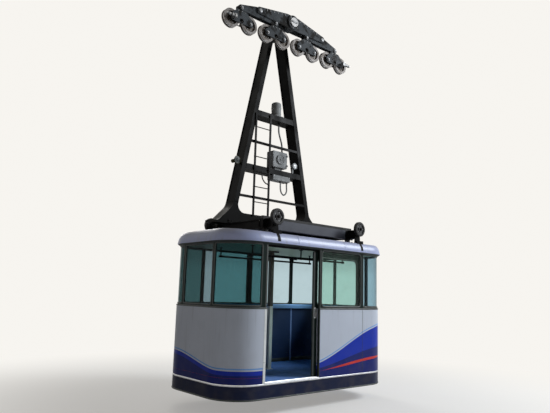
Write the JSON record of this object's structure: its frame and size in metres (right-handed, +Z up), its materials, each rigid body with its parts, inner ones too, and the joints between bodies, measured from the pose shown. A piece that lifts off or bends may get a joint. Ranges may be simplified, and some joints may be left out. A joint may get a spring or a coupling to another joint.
{
  "type": "aerial cable car cabin with hanger and rope carriage",
  "caption": "Enclosed cable car cabin with a sliding door and large windows, hung by a ladder-braced steel hanger from a rollered rope carriage.",
  "frame": {"origin": "on the track rope's axis under the rollers, at the carriage's centre", "axes": "+X along the rope, +Y away from the door side, +Z up"},
  "size_m": [3.68, 1.95, 6.77],
  "materials": {
    "body_paint": "silver-grey satin paint with a livery band",
    "roof_paint": "pale silver paint, dusty",
    "window_glass": "green tinted clear glazing",
    "ceiling_panel": "pale green laminate",
    "floor_covering": "blue-grey ribbed flooring",
    "lining_panel": "dark navy panel",
    "ledge_trim": "bright blue rail",
    "bare_aluminium": "brushed and scuffed",
    "hanger_paint": "black gloss paint, weathered",
    "frame_paint": "dark grey paint",
    "carriage_paint": "dark paint with grease",
    "fitting_grey": "grey enamel",
    "mount_rubber": "black rubber",
    "guide_tyre": "grey disc with a black tyre",
    "roller_steel": "turned iron, worn bright in the groove",
    "bright_steel": "machined steel",
    "cable_sheath": "black cable sheath"
  },
  "bodies": {
    "carriage": {"bogie_frames": "carriage_paint", "carriage_main_beam": "carriage_paint", "hanger_pin": "bright_steel", "haul_rope_sockets": "bright_steel", "rocker_beams": "carriage_paint"},
    "cabin": {"ceiling": "ceiling_panel", "centre_post": "bare_aluminium", "door_sill": "bare_aluminium", "door_track": "bare_aluminium", "floor": "floor_covering", "glass_far_side": "window_glass", "glass_left_end": "window_glass", "glass_near_side": "window_glass", "glass_right_end": "window_glass", "grab_rails": "bare_aluminium", "guide_forks": "frame_paint", "hanger_base_beam": "hanger_paint", "hanger_cable": "cable_sheath", "hanger_cable_loops": "cable_sheath", "hanger_control_box": "fitting_grey", "hanger_damper": "fitting_grey", "hanger_head": "hanger_paint", "hanger_horn": "hanger_paint", "hanger_junction_box": "fitting_grey", "hanger_ladder": "hanger_paint", "hanger_ladder_rungs": "hanger_paint", "hanger_lamp": "bare_aluminium", "hanger_leg_left": "hanger_paint", "hanger_leg_right": "hanger_paint", "hanger_lower_tie": "hanger_paint", "hanger_mid_bar": "hanger_paint", "hanger_top_bar": "hanger_paint", "hanger_upper_tie": "hanger_paint", "inner_ledge": "ledge_trim", "inner_lining": "lining_panel", "roof": "roof_paint", "roof_frame_beam_far": "frame_paint", "roof_frame_beam_near": "frame_paint", "roof_frame_cross_beams": "frame_paint", "roof_mounts": "mount_rubber", "underframe": "hanger_paint", "wall_far_side": "body_paint", "wall_left_end": "body_paint", "wall_near_side": "body_paint", "wall_right_end": "body_paint"},
    "door": {"door_glass": "window_glass", "door_leaf": "body_paint"},
    "roller_1": {"roller_1": "roller_steel"},
    "roller_2": {"roller_2": "roller_steel"},
    "roller_3": {"roller_3": "roller_steel"},
    "roller_4": {"roller_4": "roller_steel"},
    "roller_5": {"roller_5": "roller_steel"},
    "roller_6": {"roller_6": "roller_steel"},
    "roller_7": {"roller_7": "roller_steel"},
    "roller_8": {"roller_8": "roller_steel"},
    "guide_roller_1": {"guide_roller_1": "guide_tyre"},
    "guide_roller_2": {"guide_roller_2": "guide_tyre"},
    "guide_roller_3": {"guide_roller_3": "guide_tyre"},
    "guide_roller_4": {"guide_roller_4": "guide_tyre"}
  },
  "joints": [
    {"name": "hanger_swing", "type": "hinge", "parent": "carriage", "child": "cabin", "pos_m": [0, 0.45, 0.555], "axis": [0, 1, 0], "range_deg": [-20, 20]},
    {"name": "roller_1_spin", "type": "hinge", "parent": "carriage", "child": "roller_1", "pos_m": [-1.4, 0, 0.15], "axis": [0, 1, 0], "continuous": true},
    {"name": "roller_2_spin", "type": "hinge", "parent": "carriage", "child": "roller_2", "pos_m": [-1, 0, 0.15], "axis": [0, 1, 0], "continuous": true},
    {"name": "roller_3_spin", "type": "hinge", "parent": "carriage", "child": "roller_3", "pos_m": [-0.6, 0, 0.15], "axis": [0, 1, 0], "continuous": true},
    {"name": "roller_4_spin", "type": "hinge", "parent": "carriage", "child": "roller_4", "pos_m": [-0.2, 0, 0.15], "axis": [0, 1, 0], "continuous": true},
    {"name": "roller_5_spin", "type": "hinge", "parent": "carriage", "child": "roller_5", "pos_m": [0.2, 0, 0.15], "axis": [0, 1, 0], "continuous": true},
    {"name": "roller_6_spin", "type": "hinge", "parent": "carriage", "child": "roller_6", "pos_m": [0.6, 0, 0.15], "axis": [0, 1, 0], "continuous": true},
    {"name": "roller_7_spin", "type": "hinge", "parent": "carriage", "child": "roller_7", "pos_m": [1, 0, 0.15], "axis": [0, 1, 0], "continuous": true},
    {"name": "roller_8_spin", "type": "hinge", "parent": "carriage", "child": "roller_8", "pos_m": [1.4, 0, 0.15], "axis": [0, 1, 0], "continuous": true},
    {"name": "door_slide", "type": "slide", "parent": "cabin", "child": "door", "axis": [-1, 0, 0], "range_m": [0, 1.05]},
    {"name": "guide_roller_1_spin", "type": "hinge", "parent": "cabin", "child": "guide_roller_1", "pos_m": [-0.98, -0.9, -3.355], "axis": [0, 1, 0], "continuous": true},
    {"name": "guide_roller_2_spin", "type": "hinge", "parent": "cabin", "child": "guide_roller_2", "pos_m": [-0.98, 0.9, -3.355], "axis": [0, 1, 0], "continuous": true},
    {"name": "guide_roller_3_spin", "type": "hinge", "parent": "cabin", "child": "guide_roller_3", "pos_m": [0.98, -0.9, -3.355], "axis": [0, 1, 0], "continuous": true},
    {"name": "guide_roller_4_spin", "type": "hinge", "parent": "cabin", "child": "guide_roller_4", "pos_m": [0.98, 0.9, -3.355], "axis": [0, 1, 0], "continuous": true}
  ]
}
